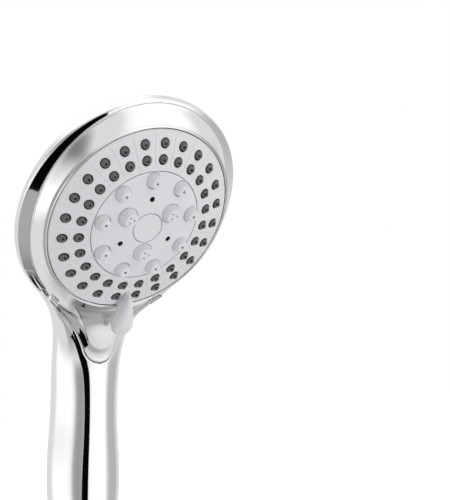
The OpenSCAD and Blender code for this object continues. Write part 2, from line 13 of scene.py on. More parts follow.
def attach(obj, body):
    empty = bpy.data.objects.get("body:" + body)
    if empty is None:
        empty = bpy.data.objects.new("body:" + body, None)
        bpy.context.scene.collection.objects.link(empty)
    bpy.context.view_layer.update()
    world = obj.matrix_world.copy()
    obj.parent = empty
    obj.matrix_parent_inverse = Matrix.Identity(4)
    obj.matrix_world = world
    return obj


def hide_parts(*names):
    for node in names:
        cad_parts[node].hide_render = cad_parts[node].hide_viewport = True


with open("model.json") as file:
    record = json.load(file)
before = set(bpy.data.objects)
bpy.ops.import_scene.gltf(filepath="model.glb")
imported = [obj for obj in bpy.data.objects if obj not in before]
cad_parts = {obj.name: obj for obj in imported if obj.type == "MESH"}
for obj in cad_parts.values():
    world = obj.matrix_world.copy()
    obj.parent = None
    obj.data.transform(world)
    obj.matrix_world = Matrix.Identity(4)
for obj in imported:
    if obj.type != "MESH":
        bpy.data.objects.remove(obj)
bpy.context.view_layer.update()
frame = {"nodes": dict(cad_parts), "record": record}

MM = 0.001

# ---------------------------------------------------------------- sizes (mm)
RIM_R = 53.7
BAND_H = 5.2
DOME_H = 20.6
LIP_Z = -2.2
SEAM_Z = -9.8
RIDGE_Z = SEAM_Z - BAND_H
OPENING_R = 44.0
SEAM_A = 48.5
SEAM_B = 52.3
TILT = math.radians(26.5)
FACE_Y = 48.0
FACE_Z = 185.0
NECK_Z = 118.0
SHELL_Z = 12.0
NECK_DIP = 6.8
SHELL_WALL = 1.6
COVER_WALL = 1.2
PLATE_WALL = 1.2
DISC_WALL = 0.8
END_R = 12.0
GRIP_W = 17.3
GRIP_D = 13.7
JOIN_SHARE = 0.5587
REST_TURN = math.radians(4.65)

CROWN_R = 106.0
CROWN_H = 7.0
PLATE_R = 43.7
OUTER_RING = 38.0
INNER_RING = 31.2
NOZZLE_N = 24
HOLE_R = 2.25

DOME_LINE = [(-0.56, 0.99), (-0.25, 1.03), (0.03, 0.99), (0.33, 0.825), (0.65, 0.515), (1, 0)]
GRIP_WIDTH = [
    (0, END_R), (0.22, END_R + 1.4), (0.42, GRIP_W - 0.4), (0.52, GRIP_W),
    (0.62, GRIP_W - 0.3), (0.74, GRIP_W - 1.3), (0.87, GRIP_W - 1.8), (1, GRIP_W - 1.2),
]
GRIP_FRONT = [(0, END_R), (0.22, END_R + 1.2), (0.42, GRIP_D), (0.74, GRIP_D - 0.1), (1, GRIP_D + 0.3)]
GRIP_BACK = [
    (0, END_R), (0.22, END_R + 1.2), (0.42, GRIP_D - 0.2), (0.62, GRIP_D),
    (0.74, GRIP_D - 0.3), (0.87, GRIP_D - 1.2), (1, GRIP_D - 2.7),
]
NECK_OPEN = [(0, 0), (0.15, 0.018), (0.3, 0.06), (0.42, 0.14), (0.53, 0.25), (0.7, 0.5), (0.83, 0.76), (1, 1)]
NECK_FRONT = [(0, 0), (0.15, -0.35), (0.3, -0.6), (0.42, 0.1), (0.53, 1), (0.7, 0.5), (0.83, 0.2), (1, 0)]
NECK_RIDGE = [(0, 0.5), (0.3, 0.42), (0.6, 0.3), (1, BAND_H / (BAND_H + DOME_H * 0.99))]
NECK_HOLLOW = [(0, 0), (0.3, 0.1), (0.6, 0.45), (1, 1)]
# The cover's outline near 6 o'clock: angle from 6 o'clock, distance from the face's centre
TONGUE = [
    (0, 73.3), (3.3, 72.4), (5.9, 70), (7.7, 66.5), (10, 63.2), (13.2, 59.8), (18.2, 56.6), (27.5, 53.5), (39.8, 51.0),
]


# ---------------------------------------------------------------- camera
VIEW_ANGLES = (32.5, 31.2, 6.2)
VIEW_PLACE = (-36.8, 12.7, -1150.5)
VIEW_LENS = 190.4


def look_at_face():
    """The camera: turned about the face's own axes, far off with a long lens."""
    view_turn = Euler([math.radians(a) for a in VIEW_ANGLES], "XYZ").to_matrix()
    face_turn = Matrix.Rotation(-REST_TURN, 3, "Z")
    s, c = math.sin(TILT), math.cos(TILT)
    to_face = Matrix(((1, 0, 0), (0, -s, c), (0, -c, -s)))
    turn = view_turn @ face_turn @ to_face
    offset = Vector(VIEW_PLACE) * MM
    centre = Vector((0, -FACE_Y, FACE_Z)) * MM
    data = bpy.data.cameras.new("camera")
    data.lens = VIEW_LENS
    data.sensor_width = 36
    data.clip_start = 0.05
    data.clip_end = 20
    camera = bpy.data.objects.new("camera", data)
    camera.matrix_world = Matrix.Translation(centre - turn.transposed() @ offset) @ turn.transposed().to_4x4()
    bpy.context.collection.objects.link(camera)
    bpy.context.scene.camera = camera


look_at_face()


# ---------------------------------------------------------------- small helpers
def curve(x, rows):
    """Smooth curve through a short table of (place, value) rows."""
    place, value = np.array(rows, float).T
    last = len(place) - 1
    below = np.maximum(np.arange(last + 1) - 1, 0)
    above = np.minimum(np.arange(last + 1) + 1, last)
    slope = (value[above] - value[below]) / (place[above] - place[below])
    x = np.asarray(x, float)
    i = np.clip(np.searchsorted(place, x, side="right") - 1, 0, last - 1)
    h = place[i + 1] - place[i]
    u = np.clip((x - place[i]) / h, 0, 1)
    return (
        (2 * u**3 - 3 * u**2 + 1) * value[i]
        + (u**3 - 2 * u**2 + u) * h * slope[i]
        + (3 * u**2 - 2 * u**3) * value[i + 1]
        + (u**3 - u**2) * h * slope[i + 1]
    )


def soft_step(x):
    x = np.clip(x, 0, 1)
    return x * x * (3 - 2 * x)


def mix(a, b, k):
    return a + (b - a) * k


def face_level(r):
    return CROWN_H - CROWN_R + np.sqrt(CROWN_R**2 - np.asarray(r, float) ** 2)


def head_point(v, n):
    """Y and Z of a point of the head's middle plane."""
    return np.stack(
        [-FACE_Y - v * math.sin(TILT) - n * math.cos(TILT), FACE_Z + v * math.cos(TILT) - n * math.sin(TILT)], -1
    )


def head_coords(yz):
    """The reverse of head_point."""
    y, z = yz[..., 0] + FACE_Y, yz[..., 1] - FACE_Z
    return -y * math.sin(TILT) + z * math.cos(TILT), -y * math.cos(TILT) - z * math.sin(TILT)


def in_head(points, turn=0.0):
    """Points of the head's frame (mm) as points of the object (m), turned about the face's axis."""
    p = np.asarray(points, float)
    x = p[..., 0] * math.cos(turn) - p[..., 1] * math.sin(turn)
    v = p[..., 0] * math.sin(turn) + p[..., 1] * math.cos(turn)
    yz = head_point(v, p[..., 2])
    return np.concatenate([x[..., None], yz], -1) * MM


def piece(name, points, faces, smooth=True, merge=0.0):
    mesh = bpy.data.meshes.new(name)
    mesh.from_pydata([tuple(map(float, p)) for p in points], [], [tuple(map(int, f)) for f in faces])
    if merge:
        work = bmesh.new()
        work.from_mesh(mesh)
        bmesh.ops.remove_doubles(work, verts=work.verts, dist=merge)
        bmesh.ops.dissolve_degenerate(work, edges=work.edges, dist=merge / 2)
        work.to_mesh(mesh)
        work.free()
    mesh.polygons.foreach_set("use_smooth", [smooth] * len(mesh.polygons))
    obj = bpy.data.objects.new(name, mesh)
    bpy.context.collection.objects.link(obj)
    return obj


def settle(obj):
    """Turns a piece's modifiers into plain mesh."""
    graph = bpy.context.evaluated_depsgraph_get()
    mesh = bpy.data.meshes.new_from_object(obj.evaluated_get(graph), depsgraph=graph)
    obj.modifiers.clear()
    obj.data = mesh
    return obj


def thicken(obj, wall):
    shell = obj.modifiers.new("wall", "SOLIDIFY")
    shell.thickness = wall * MM
    shell.offset = -1
    return settle(obj)


def grid_faces(rows, columns, closed=False, start=0, flip=False):
    wide = columns if closed else columns - 1
    out = []
    for i in range(rows - 1):
        for j in range(wide):
            k = (j + 1) % columns
            a, b = start + i * columns + j, start + i * columns + k
            c, d = a + columns, b + columns
            out.append((a, c, d, b) if flip else (a, b, d, c))
    return out


# ---------------------------------------------------------------- the smooth skin
def skin_tracks():
    """Fine rows down the body: front, ridge and back points (y, z), half width, roundness of front and back."""
    join_turn = math.acos(-JOIN_SHARE)
    join_v = -JOIN_SHARE * RIM_R
    turn = np.linspace(0, join_turn, 700)
    v = RIM_R * np.cos(turn)
    deep = DOME_H * curve(v / RIM_R, DOME_LINE)
    head = np.column_stack([
        head_point(v, SEAM_Z + 0 * v), head_point(v, RIDGE_Z + 0 * v), head_point(v, RIDGE_Z - deep),
        RIM_R * np.sin(turn), 0 * v, 0 * v,
    ])
    joint = head_point(join_v, 0.0)
    pivot = np.array([joint[0] - (joint[1] - NECK_Z) / math.tan(TILT), NECK_Z])
    reach_front = np.linalg.norm(head_point(join_v, SEAM_Z) - pivot)
    reach_back = np.linalg.norm(head_point(join_v, RIDGE_Z - DOME_H * 0.99) - pivot)
    f = np.linspace(1, 0, 400)[1:]
    near = mix(-pivot[0] - curve(1, GRIP_FRONT), reach_front, f) + curve(f, NECK_FRONT)
    far = mix(-pivot[0] + curve(1, GRIP_BACK), reach_back, f) - NECK_DIP * f * (1 - f)
    ridge = mix(near, far, curve(f, NECK_RIDGE))
    along = np.column_stack([np.cos(TILT * f), np.sin(TILT * f)])
    wide = mix(curve(1, GRIP_WIDTH), RIM_R * math.sqrt(1 - JOIN_SHARE**2), curve(f, NECK_OPEN))
    neck = np.column_stack([
        pivot + near[:, None] * along, pivot + ridge[:, None] * along, pivot + far[:, None] * along,
        wide, 1 - np.clip((f - 0.35) / 0.5, 0, 1), 1 - curve(f, NECK_HOLLOW),
    ])
    q = np.linspace(1, 0, 600)[1:]
    z = mix(SHELL_Z, NECK_Z, q)
    front, back = -curve(q, GRIP_FRONT), curve(q, GRIP_BACK)
    grip = np.column_stack([front, z, (front + back) / 2, z, back, z, curve(q, GRIP_WIDTH), 1 + 0 * q, 1 + 0 * q])
    rows = np.vstack([head, neck, grip])
    reach = 24
    kernel = np.exp(-0.5 * (np.arange(-3 * reach, 3 * reach + 1) / reach) ** 2)
    kernel /= kernel.sum()
    soft = np.column_stack([
        np.convolve(np.pad(c, 3 * reach, mode="reflect", reflect_type="odd"), kernel, mode="valid") for c in rows.T
    ])
    keep = np.clip((np.arange(len(rows)) - 380) / 120, 0, 1)[:, None]
    keep = keep * keep * (3 - 2 * keep)
    return mix(rows, soft, keep), len(head)


TRACKS, HEAD_ROWS = skin_tracks()
CORNER_R = 0.7
LIP_SLOPE = 0.5
RIDGE_R = 0.5


def outline_r(angle):
    """Distance of the cover's outline from the face's centre, by angle from 6 o'clock in degrees."""
    angle = np.abs(angle)
    rad = np.radians(angle)
    oval = 1 / np.sqrt((np.sin(rad) / SEAM_A) ** 2 + (np.cos(rad) / SEAM_B) ** 2)
    return np.where(angle < TONGUE[-1][0], curve(angle, TONGUE), oval)


def front_rows(rows, b):
    """The front of each row at section angles b: x, v and n, with the corner's rounding left out."""
    w, rf = rows[:, 6:7], rows[:, 7:8]
    flat = np.maximum(w - CORNER_R, 0) * (90 - b) / 57
    x = mix(flat, w * np.cos(np.radians(b)), rf)
    share = mix(1.0, np.sin(np.radians(b)), rf)
    yz = rows[:, None, 2:4] + (rows[:, None, 0:2] - rows[:, None, 2:4]) * share[..., None]
    v, n = head_coords(yz)
    return x, v, n


def seam_angles(rows, gap):
    """Section angle at which each row meets the cover's outline (90 where it doesn't)."""
    b = np.linspace(90, 33, 800)[None, :]
    x, v, _ = front_rows(rows, b)
    inside = np.hypot(x, v) < outline_r(np.degrees(np.arctan2(x, -v))) + gap
    count = np.where(inside[:, 0], np.argmin(inside, axis=1), 0)
    return b[0][np.minimum(count, 799)]


def shell_skin():
    front_v, _ = head_coords(TRACKS[:, 0:2])
    tip = float(np.interp(TONGUE[0][1], -front_v, np.arange(len(TRACKS))))
    places = np.concatenate([
        np.linspace(0, HEAD_ROWS - 1, 150), np.linspace(HEAD_ROWS, HEAD_ROWS + 399, 96),
        np.linspace(HEAD_ROWS + 404, len(TRACKS) - 1, 90), tip - np.array([0.15, 0.5, 1.2, 2.2, 3.4, 4.8, 6.4]),
    ])
    places = np.unique(np.round(places, 2))
    rows = np.column_stack([np.interp(places, np.arange(len(TRACKS)), c) for c in TRACKS.T])
    in_top = places < HEAD_ROWS
    w, rf, rb = rows[:, 6:7], rows[:, 7:8], rows[:, 8:9]
    seam = seam_angles(rows, 0.1)[:, None]
    is_open = seam < 89.9

    step = np.array([0, 0.06, 0.16, 0.32])
    first = seam - np.degrees(step[None, :] / np.maximum(w, 6))
    rest = np.linspace(0, 1, 15)[1:] ** 0.9
    inner = np.hstack([first, mix(first[:, -1:], 33.0, rest[None, :])])
    x, v_in, _ = front_rows(rows, inner)
    share = mix(1.0, np.sin(np.radians(inner)), rf)
    top_gap = np.hypot(x, v_in) - outline_r(np.degrees(np.arctan2(x, -v_in)))
    gap = np.where(in_top[:, None], top_gap, np.where(is_open, x - x[:, :1], 1.0))
    drop = 0.35 * (1 - np.sqrt(np.maximum(0, 1 - (1 - np.clip(gap / 0.32, 0, 1)) ** 2)))

    psi = np.radians(np.array([15, 30, 45, 60, 75, 90]))
    nominal = np.array([32, 31, 30, 29, 28.5, 28])
    small = np.minimum(CORNER_R, w)
    cx = mix(w - small + small * np.sin(psi)[None, :], w * np.cos(np.radians(nominal))[None, :], rf)
    cs = mix(np.ones_like(cx), np.sin(np.radians(nominal))[None, :], rf)
    x, share = np.hstack([x, cx]), np.hstack([share, cs])
    drop = np.hstack([drop, np.zeros_like(cx)])

    v_row, _ = head_coords(rows[:, 2:4])
    rim_gap = np.where(
        in_top[:, None], RIM_R - np.hypot(x, np.clip(v_row, -RIM_R, RIM_R)[:, None]), (w - x) * 0.85
    )
    g = np.clip(rim_gap / CORNER_R, 0, 1)
    drop = drop + CORNER_R * (1 - np.sqrt(np.maximum(0, 1 - (1 - g) ** 2))) * (1 - rf)
    # The lip slopes away from the seam all round the head and fades out down the neck
    down = np.clip(1 - (places - HEAD_ROWS + 1) / 399, 0, 1)[:, None]
    outward = np.hypot(x, v_row[:, None]) - outline_r(np.degrees(np.arctan2(x, -v_row[:, None])))
    far = np.where(in_top[:, None], outward, 0.84 * np.where(is_open, x - x[:, :1], 0))
    slope = LIP_SLOPE * np.where(in_top[:, None], 1.0, soft_step((down - 0.3) / 0.5))
    drop = drop + slope * np.clip(far, 0, RIM_R - SEAM_A)

    tall = np.linalg.norm(rows[:, 0:2] - rows[:, 2:4], axis=1)[:, None]
    part = np.array([0.12, 0.3, 0.5, 0.7, 0.88, 1.0])
    nominal = np.array([24, 19, 14, 9, 4, 1.5])
    drop_edge = drop[:, -1:]
    wall_share = 1 - (drop_edge + part[None, :] * (tall - drop_edge - RIDGE_R)) / tall
    wx = mix(w + 0 * part[None, :], w * np.cos(np.radians(nominal))[None, :], rf)
    ws = mix(wall_share, np.sin(np.radians(nominal))[None, :], rf)

    a = np.radians(np.array([
        0.8, 1.8, 3, 4.5, 6.2, 8.2, 10.5, 13.5, 17, 21.5, 27, 33, 39, 45, 51, 57, 63, 69, 75, 81, 86, 90,
    ]))
    bx = w * np.cos(a)[None, :]
    bs = np.sin(a)[None, :] ** (2 - rb)
    back_gap = np.where(
        in_top[:, None], RIM_R - np.hypot(bx, np.clip(v_row, -RIM_R, RIM_R)[:, None]), (w - bx) * 0.85
    )
    gb = np.clip(back_gap / (1.4 * RIDGE_R), 0, 1)
    lift = RIDGE_R * (1 - np.sqrt(np.maximum(0, 1 - (1 - gb) ** 2))) * (1 - rb)

    e = (rows[:, 0:2] - rows[:, 2:4]) / tall
    def spot(shares, sinks):
        return rows[:, None, 2:4] + e[:, None, :] * (shares * tall - sinks)[..., None]
    front = np.concatenate([x[..., None], spot(share, drop)], -1)
    side = np.concatenate([wx[..., None], spot(ws, 0 * ws)], -1)
    rear_yz = rows[:, None, 2:4] + (rows[:, None, 4:6] - rows[:, None, 2:4]) * bs[..., None]
    rear_yz = rear_yz + e[:, None, :] * lift[..., None]
    rear = np.concatenate([bx[..., None], rear_yz], -1)
    half = np.concatenate([front, side, rear], 1)

    foot = []
    last = half[-1]
    for inset in (0.12, 0.3, 0.6):
        ring = last.copy()
        ring[:, :2] *= (END_R - inset) / END_R
        ring[:, 2] = SHELL_Z
        foot.append(ring)
    half[-1, :, 2] = SHELL_Z + 0.45
    half = np.concatenate([half, np.array(foot)], 0)

    count, columns = half.shape[0], half.shape[1]
    mirror = half * np.array([-1, 1, 1])
    points = np.concatenate([half.reshape(-1, 3), mirror.reshape(-1, 3)]) * MM
    faces = grid_faces(count, columns, flip=True) + grid_faces(count, columns, start=count * columns)
    return piece("shell_skin", points, faces, merge=2e-6)


def neck_front_table():
    """Heights of the neck's front on a regular grid of u and v."""
    rows = TRACKS[HEAD_ROWS - 60:HEAD_ROWS + 399:4]
    b = np.linspace(90, 33, 300)[None, :]
    x, v, n = front_rows(rows, b)
    us = np.arange(0, 50, 0.5)
    vs = np.arange(-78, -20, 0.25)
    table = np.full((len(us), len(vs)), -60.0)
    for k, u in enumerate(us):
        reach = x[:, -1] >= u
        if reach.sum() < 3:
            continue
        at_v = np.array([np.interp(u, x[i], v[i]) for i in np.flatnonzero(reach)])
        at_n = np.array([np.interp(u, x[i], n[i]) for i in np.flatnonzero(reach)])
        order = np.argsort(at_v)
        table[k] = np.interp(vs, at_v[order], at_n[order], left=-60.0, right=SEAM_Z)
    return us, vs, table


def neck_front(u, v):
    us, vs, table = NECK_TABLE
    fu = np.clip(np.abs(u) / 0.5, 0, len(us) - 1.001)
    fv = np.clip((v - vs[0]) / 0.25, 0, len(vs) - 1.001)
    i, j = fu.astype(int), fv.astype(int)
    du, dv = fu - i, fv - j
    return mix(
        mix(table[i, j], table[i, j + 1], dv), mix(table[i + 1, j], table[i + 1, j + 1], dv), du
    )


NECK_TABLE = neck_front_table()


def cover_skin():
    """The front cover: a ring of sloping bezel that runs out into the tongue."""
    near = np.concatenate([np.linspace(0, 6, 13), np.linspace(6, 44, 60)[1:], np.linspace(44, 180, 130)[1:]])
    angle = np.concatenate([-near[:0:-1], near])[:-1]
    rad = np.radians(angle)[:, None]
    out_r = outline_r(angle)[:, None] - 0.05
    oval = 1 / np.sqrt((np.sin(rad) / SEAM_A) ** 2 + (np.cos(rad) / SEAM_B) ** 2)
    t = np.linspace(0, 1, 44)[None, :]
    start = OPENING_R + 0.55
    r = mix(start, out_r - 0.32, t)
    u, v = r * np.sin(rad), -r * np.cos(rad)
    slope_share = (r - OPENING_R) / (oval - OPENING_R)
    bezel = LIP_Z - (LIP_Z - SEAM_Z) * slope_share + 3.6 * np.clip(slope_share * (1 - slope_share), 0, 1) ** 2
    neck = neck_front(u, v)
    soft = 6 * np.clip((out_r - r) / 6, 0, 1) ** 1.5 * soft_step((r - 44.3) / 9)
    high = 0.5 * (bezel + neck + np.sqrt((bezel - neck) ** 2 + soft**2))
    gone = np.clip((out_r - r) / 1.2, 0, 1)
    high = mix(np.maximum(bezel, neck), high, gone)
    body = np.stack([u, v, high], -1)

    def ring(radius, level):
        radius = radius + 0 * rad[:, 0]
        return np.stack([radius * np.sin(rad[:, 0]), -radius * np.cos(rad[:, 0]), level + 0 * radius], -1)[:, None, :]

    edge = high[:, -1]
    outer = out_r[:, 0]
    rings = [ring(OPENING_R, -9.5), ring(OPENING_R, -6.0), ring(OPENING_R, LIP_Z - 0.6)]
    for psi in (20, 40, 60, 80):
        p = math.radians(psi)
        rings.append(ring(OPENING_R + 0.5 - 0.5 * math.cos(p), LIP_Z - 0.55 + 0.5 * math.sin(p)))
    rings.append(body)
    for inset, fall in ((0.16, 0.035), (0.06, 0.13), (0.0, 0.35), (0.0, 1.8)):
        rings.append(ring(outer - inset, edge - fall))
    grid = np.concatenate(rings, 1)
    grid = np.concatenate([grid, grid[:1]], 0)
    count, columns = grid.shape[:2]
    return piece("cover_skin", in_head(grid.reshape(-1, 3)), grid_faces(count, columns, flip=False), merge=1e-6)


shell = thicken(shell_skin(), SHELL_WALL)
cover = thicken(cover_skin(), COVER_WALL)


# ---------------------------------------------------------------- repeating patterns
def new_group(name, kind, inputs, outputs):
    """A node group with named inputs (name, socket type, default) and outputs (name, socket type)."""
    group = bpy.data.node_groups.new(name, kind)
    for label, socket, start in inputs:
        made = group.interface.new_socket(label, in_out="INPUT", socket_type=socket)
        if start is not None:
            made.default_value = start
    for label, socket in outputs:
        group.interface.new_socket(label, in_out="OUTPUT", socket_type=socket)
    return group, group.nodes.new("NodeGroupInput"), group.nodes.new("NodeGroupOutput")


def maths(tree, operation, a, b=None, c=None):
    """A math node with each input linked or set."""
    node = tree.nodes.new("ShaderNodeMath")
    node.operation = operation
    for socket, value in zip(node.inputs, (a, b, c)):
        if isinstance(value, bpy.types.NodeSocket):
            tree.links.new(value, socket)
        elif value is not None:
            socket.default_value = value
    return node.outputs[0]


def polar_array_group():
    group, given, out = new_group("polar_array", "GeometryNodeTree", [
        ("Geometry", "NodeSocketGeometry", None), ("Count", "NodeSocketInt", 12),
        ("Start", "NodeSocketFloat", 0.0), ("Weld", "NodeSocketFloat", 0.000002),
        ("Material", "NodeSocketMaterial", None),
    ], [("Geometry", "NodeSocketGeometry")])
    add, link = group.nodes.new, group.links.new
    places = add("GeometryNodeMeshLine")
    places.inputs["Offset"].default_value = (0, 0, 0)
    link(given.outputs["Count"], places.inputs["Count"])
    step = maths(group, "DIVIDE", math.tau, given.outputs["Count"])
    angle = maths(group, "MULTIPLY_ADD", add("GeometryNodeInputIndex").outputs[0], step, given.outputs["Start"])
    turn = add("ShaderNodeCombineXYZ")
    link(angle, turn.inputs["Z"])
    copies = add("GeometryNodeInstanceOnPoints")
    link(places.outputs[0], copies.inputs["Points"])
    link(given.outputs["Geometry"], copies.inputs["Instance"])
    link(turn.outputs[0], copies.inputs["Rotation"])
    real = add("GeometryNodeRealizeInstances")
    link(copies.outputs[0], real.inputs[0])
    weld = add("GeometryNodeMergeByDistance")
    link(real.outputs[0], weld.inputs["Geometry"])
    link(given.outputs["Weld"], weld.inputs["Distance"])
    paint = add("GeometryNodeSetMaterial")
    link(weld.outputs[0], paint.inputs["Geometry"])
    link(given.outputs["Material"], paint.inputs["Material"])
    link(paint.outputs[0], out.inputs[0])
    return group


def thread_group():
    """Cuts a helical thread into a plain turned wall about Z."""
    group, given, out = new_group("screw_thread", "GeometryNodeTree", [
        ("Geometry", "NodeSocketGeometry", None), ("Pitch", "NodeSocketFloat", 0.0018),
        ("Depth", "NodeSocketFloat", 0.001), ("Low", "NodeSocketFloat", 0.0), ("High", "NodeSocketFloat", 0.01),
        ("Wall", "NodeSocketFloat", 0.009), ("Material", "NodeSocketMaterial", None),
    ], [("Geometry", "NodeSocketGeometry")])
    add, link = group.nodes.new, group.links.new
    spot = add("ShaderNodeSeparateXYZ")
    link(add("GeometryNodeInputPosition").outputs[0], spot.inputs[0])
    x, y, z = spot.outputs
    turn = maths(group, "DIVIDE", maths(group, "ARCTAN2", y, x), math.tau)
    phase = maths(group, "FRACT", maths(group, "SUBTRACT", maths(group, "DIVIDE", z, given.outputs["Pitch"]), turn))
    wave = maths(group, "ABSOLUTE", maths(group, "MULTIPLY_ADD", phase, 2.0, -1.0))
    flank = maths(group, "MULTIPLY_ADD", wave, 1.5, -0.25)
    flank = maths(group, "MINIMUM", maths(group, "MAXIMUM", flank, 0.0), 1.0)
    radius = maths(group, "SQRT", maths(group, "ADD", maths(group, "MULTIPLY", x, x), maths(group, "MULTIPLY", y, y)))
    on_wall = maths(group, "GREATER_THAN", radius, given.outputs["Wall"])
    above = maths(group, "GREATER_THAN", z, given.outputs["Low"])
    below = maths(group, "LESS_THAN", z, given.outputs["High"])
    amount = maths(group, "MULTIPLY", maths(group, "MULTIPLY", on_wall, above), maths(group, "MULTIPLY", below, flank))
    cut = maths(group, "MULTIPLY", amount, given.outputs["Depth"])
    ratio = maths(group, "SUBTRACT", 1.0, maths(group, "DIVIDE", cut, radius))
    joined = add("ShaderNodeCombineXYZ")
    link(maths(group, "MULTIPLY", x, ratio), joined.inputs["X"])
    link(maths(group, "MULTIPLY", y, ratio), joined.inputs["Y"])
    link(z, joined.inputs["Z"])
    move = add("GeometryNodeSetPosition")
    link(given.outputs["Geometry"], move.inputs["Geometry"])
    link(joined.outputs[0], move.inputs["Position"])
    real = add("GeometryNodeRealizeInstances")
    link(move.outputs[0], real.inputs[0])
    paint = add("GeometryNodeSetMaterial")
    link(real.outputs[0], paint.inputs["Geometry"])
    link(given.outputs["Material"], paint.inputs["Material"])
    link(paint.outputs[0], out.inputs[0])
    return group


def run_group(obj, group, **values):
    """Runs a geometry group on a piece with these inputs and keeps the plain mesh."""
    work = obj.modifiers.new("pattern", "NODES")
    work.node_group = group
    for item in group.interface.items_tree:
        if item.item_type == "SOCKET" and item.in_out == "INPUT" and item.name in values:
            work[item.identifier] = values[item.name]
    obj.update_tag()
    return settle(obj)


POLAR = polar_array_group()
THREAD = thread_group()


def to_head(obj, turn=REST_TURN):
    """Moves a piece made about its own Z axis into the head's place."""
    s, c = math.sin(TILT), math.cos(TILT)
    axes = Matrix(((1, 0, 0, 0), (0, -s, -c, -FACE_Y * MM), (0, c, -s, FACE_Z * MM), (0, 0, 0, 1)))
    obj.data.transform(axes @ Matrix.Rotation(turn, 4, "Z"))
    obj.data.update()
    return obj


def lathe(profile, steps=40, at=(0.0, 0.0), base=0.0):
    """Points (mm) and faces of a turned shape; the profile runs up the outside."""
    profile = np.array(profile, float)
    a = np.linspace(0, math.tau, steps, endpoint=False)
    points = np.stack([
        at[0] + profile[:, :1] * np.cos(a), at[1] + profile[:, :1] * np.sin(a), base + profile[:, 1:] + 0 * a,
    ], -1)
    return points.reshape(-1, 3), grid_faces(len(profile), steps, closed=True)


def join(parts):
    points, faces, count = [], [], 0
    for p, f in parts:
        points.append(np.asarray(p))
        faces += [tuple(int(i) + count for i in face) for face in f]
        count += len(p)
    return np.concatenate(points), faces


def cell_sheet(r_in, r_out, half, holes, radii, spread, extra=()):
    """Triangles of one cell of a ring: half angle in degrees, holes (x, y, loop radii), rows at these radii."""
    half = math.radians(half)
    verts, edges = [], []

    def loop(points):
        start = len(verts)
        verts.extend(points)
        edges.extend((start + i, start + (i + 1) % len(points)) for i in range(len(points)))

    arc = np.linspace(-half, half, spread)
    rim = [(r_out * math.cos(a), r_out * math.sin(a)) for a in arc]
    rim += [(r * math.cos(half), r * math.sin(half)) for r in radii[::-1] if r_in < r < r_out]
    rim += [(r_in * math.cos(a), r_in * math.sin(a)) for a in arc[::-1]]
    rim += [(r * math.cos(half), -r * math.sin(half)) for r in radii if r_in < r < r_out]
    loop(rim)
    for x, y, loops in holes:
        count = 64 if loops[0] > 3 else 40
        for r in loops:
            turn = np.linspace(0, math.tau, count, endpoint=False)
            loop([(x + r * math.cos(a), y + r * math.sin(a)) for a in turn])
    for r in radii:
        if not r_in < r < r_out:
            continue
        for a in arc[1:-1]:
            x, y = r * math.cos(a), r * math.sin(a)
            if all(math.hypot(x - hx, y - hy) > loops[-1] + 0.3 for hx, hy, loops in holes):
                verts.append((x, y))
    for gap in extra:
        for r in radii:
            if not r_in < r < r_out:
                continue
            for side in (-1, 1):
                a = side * (half - gap / r)
                x, y = r * math.cos(a), r * math.sin(a)
                if all(math.hypot(x - hx, y - hy) > loops[-1] + 0.15 for hx, hy, loops in holes):
                    verts.append((x, y))
    flat, _, tris, _, _, _ = delaunay_2d_cdt([Vector(p) for p in verts], edges, [], 0, 1e-5)
    flat = np.array([tuple(p) for p in flat])
    keep = []
    for tri in tris:
        p = flat[list(tri)]
        x, y = p.mean(0)
        r, a = math.hypot(x, y), math.atan2(y, x)
        area = (p[1, 0] - p[0, 0]) * (p[2, 1] - p[0, 1]) - (p[2, 0] - p[0, 0]) * (p[1, 1] - p[0, 1])
        in_hole = any(math.hypot(x - hx, y - hy) < loops[0] * 0.9995 for hx, hy, loops in holes)
        if abs(area) < 1e-4 or abs(a) > half or in_hole:
            continue
        if r > r_out or (np.hypot(*p.T) < r_in + 1e-3).all():
            continue
        keep.append(tuple(tri) if area > 0 else tuple(tri[::-1]))
    return flat, keep


def rounded(gap, radius):
    """Fall of a rounded edge at this distance from it."""
    g = np.clip(np.asarray(gap) / radius, 0, 1)
    return radius * (1 - np.sqrt(np.maximum(0, 1 - (1 - g) ** 2)))


# ---------------------------------------------------------------- the spray face
NOZZLE_CELL = 360 / NOZZLE_N
RING_START = 90 + NOZZLE_CELL / 2
DISC_OPENING_R = 26.3
DISC_EDGE_R = 26.1
CAP_OPENING_R = 7.15
EDGE_R = 0.28
HOLE_LOOPS = [HOLE_R, HOLE_R + 0.04, HOLE_R + 0.11, HOLE_R + 0.2, HOLE_R + 0.32]


def plate_cell():
    holes = [(OUTER_RING, 0.0, HOLE_LOOPS), (INNER_RING, 0.0, HOLE_LOOPS)]
    radii = np.concatenate([
        [26.36, 26.45, 26.6], np.arange(27, 43.2, 0.45), [43.3, 43.45, 43.58, 43.66],
    ])
    flat, tris = cell_sheet(DISC_OPENING_R, PLATE_R, NOZZLE_CELL / 2, holes, radii, 17, (0.12, 0.24, 0.36, 0.5))
    r, a = np.hypot(*flat.T), np.arctan2(flat[:, 1], flat[:, 0])
    side = (math.radians(NOZZLE_CELL / 2) - np.abs(a)) * r
    groove = 0.3 * (1 - soft_step(side / 0.42)) * soft_step((r - 27.7) / 0.7) * soft_step((42.3 - r) / 0.7)
    z = face_level(r) - groove - rounded(PLATE_R - r, 0.5) - rounded(r - DISC_OPENING_R, 0.3)
    for x, y, loops in holes:
        z = z - rounded(np.hypot(flat[:, 0] - x, flat[:, 1] - y) - loops[0], EDGE_R)
    return np.column_stack([flat, z]), tris


